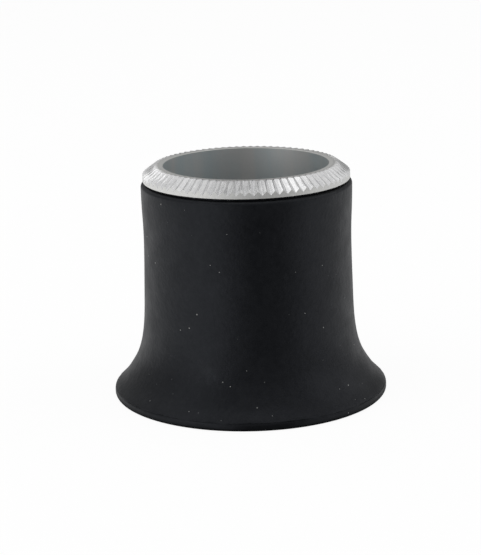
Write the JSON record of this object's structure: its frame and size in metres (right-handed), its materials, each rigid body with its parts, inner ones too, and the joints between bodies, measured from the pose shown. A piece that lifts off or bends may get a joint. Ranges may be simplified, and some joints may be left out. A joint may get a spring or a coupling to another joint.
{
  "type": "jewelers loupe",
  "caption": "Jeweller's eye loupe: flared black eyecup worn in the eye socket, with plano-convex lenses clamped inside it by a knurled aluminium screw ring.",
  "frame": {"origin": "centre of the eyecup rim's underside, where the loupe stands on a table", "axes": "+Z along the optical axis, from the eyecup's rim towards the knurled ring. +X and +Y lie in the plane of the rim, and the loupe is the same all round apart from the thread"},
  "size_m": [0.0376, 0.0374, 0.0318],
  "materials": {
    "black_plastic": "moulded, matte with a faint sheen on the flare",
    "aluminium": "turned satin, with bright cut flutes",
    "black_rubber": "matte",
    "black_anodised": "black anodised, fine turning marks",
    "glass": "polished, thin anti-reflection coating"
  },
  "bodies": {
    "eyecup": {"eyecup_body": "black_plastic", "rear_lens": "glass", "lens_spacer": "black_anodised", "front_lens": "glass"},
    "gasket": {"lens_gasket": "black_rubber"},
    "ring": {"knurled_ring": "aluminium"}
  },
  "joints": [
    {"name": "ring_lift", "type": "slide", "parent": "eyecup", "child": "gasket", "axis": [0, 0, 1], "range_m": [0, 0.0045]},
    {"name": "ring_turn", "type": "hinge", "parent": "gasket", "child": "ring", "pos_m": [0, 0, 0.0275], "axis": [0, 0, 1], "range_deg": [0, 1620]}
  ],
  "couplings": [
    {"joint": "ring_lift", "follows": "ring_turn", "m_per_rad": 0.00015915}
  ]
}
